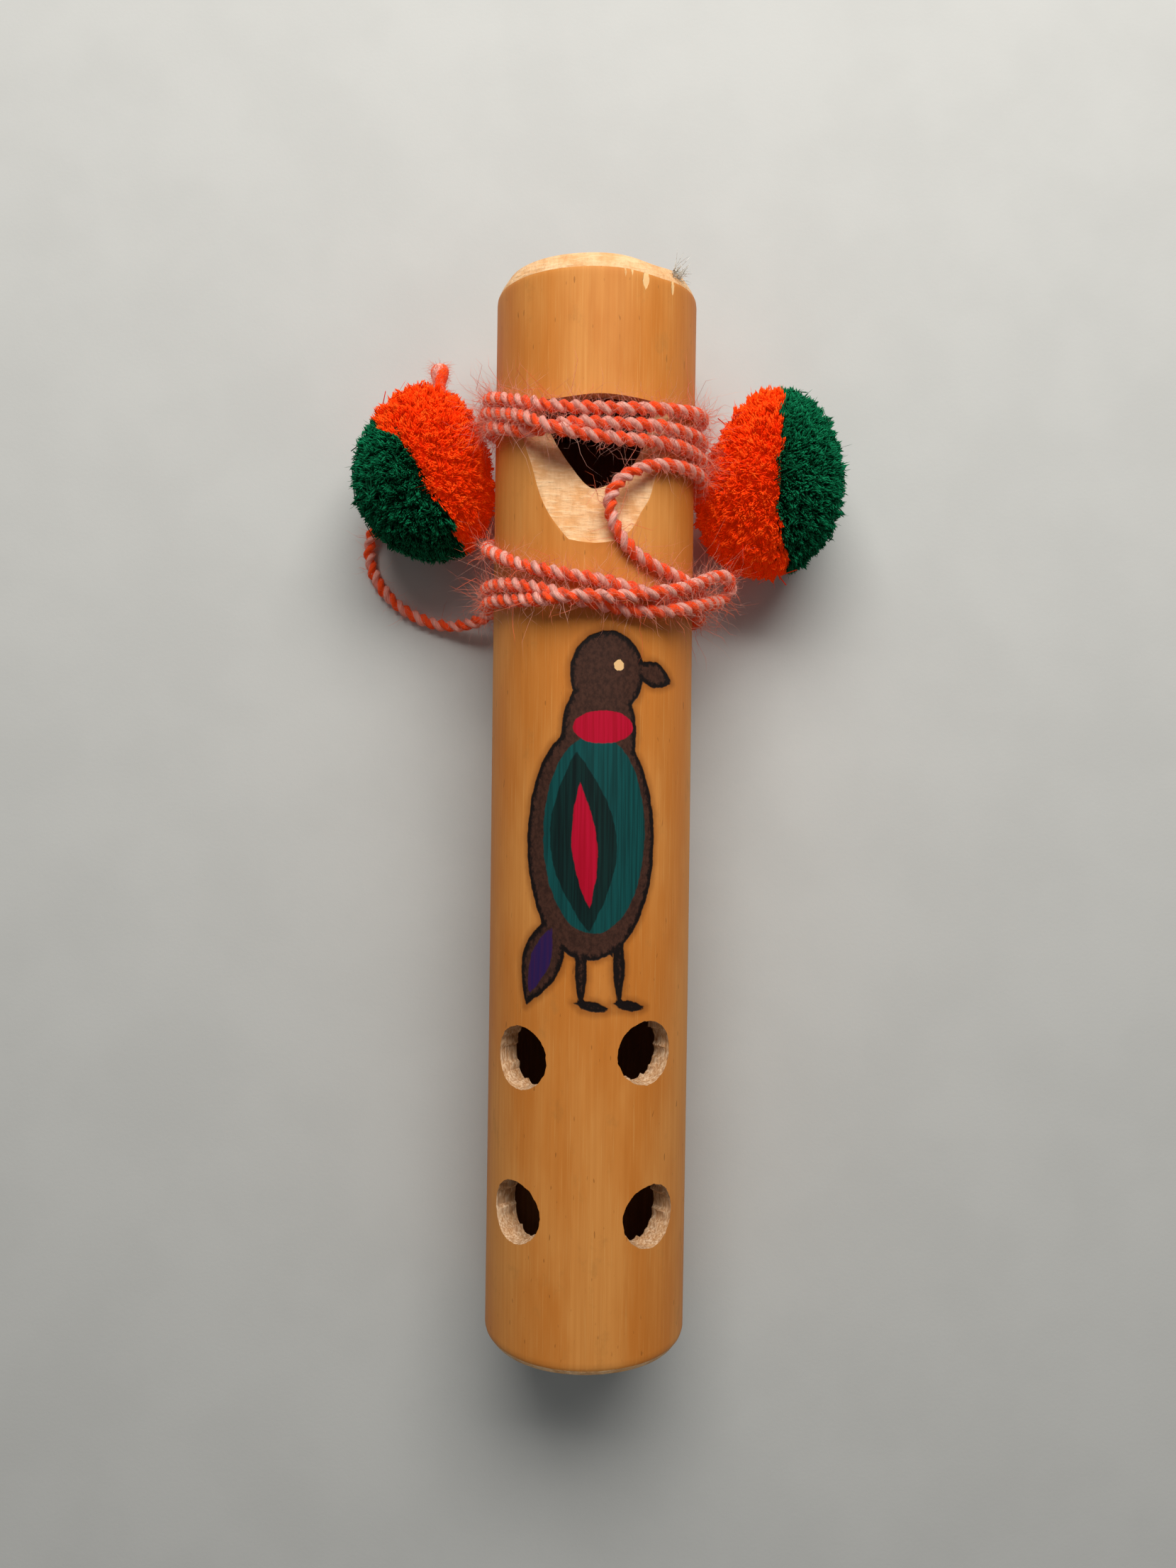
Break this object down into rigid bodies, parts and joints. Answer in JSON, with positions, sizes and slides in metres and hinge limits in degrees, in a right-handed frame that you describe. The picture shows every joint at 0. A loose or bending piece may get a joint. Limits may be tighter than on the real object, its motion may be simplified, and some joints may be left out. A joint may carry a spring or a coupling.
{
  "type": "bamboo whistle",
  "caption": "Varnished bamboo fipple whistle with a cut window, finger holes, a painted bird, and a two-colour wool cord with pompoms wound round it.",
  "frame": {"origin": "the middle of the bamboo tube, on its axis", "axes": "+Y along the tube towards the mouth end, +Z out of the window, so the whistle lies on its back; +X to the right of a viewer looking down on it with the mouth end up"},
  "size_m": [0.0725, 0.147, 0.0329],
  "materials": {
    "bamboo": "satin clear varnish over honey-coloured bamboo, with burnt outlines and brushed paint",
    "plug_wood": "bare dark wood",
    "wool_cord": "two-ply twisted wool, one ply orange and one ply pale pink, fuzzy",
    "wool_orange": "cut wool pile",
    "wool_green": "cut wool pile"
  },
  "bodies": {
    "flute": {"bamboo_body": "bamboo", "fipple_plug": "plug_wood", "cord_upper_winding": "wool_cord", "cord_lower_winding": "wool_cord", "cord_front_loop": "wool_cord", "cord_back_run": "wool_cord", "cord_right_bight": "wool_cord", "cord_left_tail": "wool_cord", "cord_right_tail": "wool_cord"},
    "left_pompom": {"pompom_left_orange": "wool_orange", "pompom_left_green": "wool_green", "pompom_left_tie": "wool_cord", "cord_left_end": "wool_cord"},
    "right_pompom": {"pompom_right_orange": "wool_orange", "pompom_right_green": "wool_green", "pompom_right_tie": "wool_cord"}
  },
  "joints": [
    {"name": "left_pompom_swing", "type": "hinge", "parent": "flute", "child": "left_pompom", "pos_m": [0, 0.0489, 0], "axis": [0, 1, 0], "range_deg": [0, 60]},
    {"name": "right_pompom_swing", "type": "hinge", "parent": "flute", "child": "right_pompom", "pos_m": [0, 0.0485, 0], "axis": [0, -1, 0], "range_deg": [0, 60]}
  ]
}
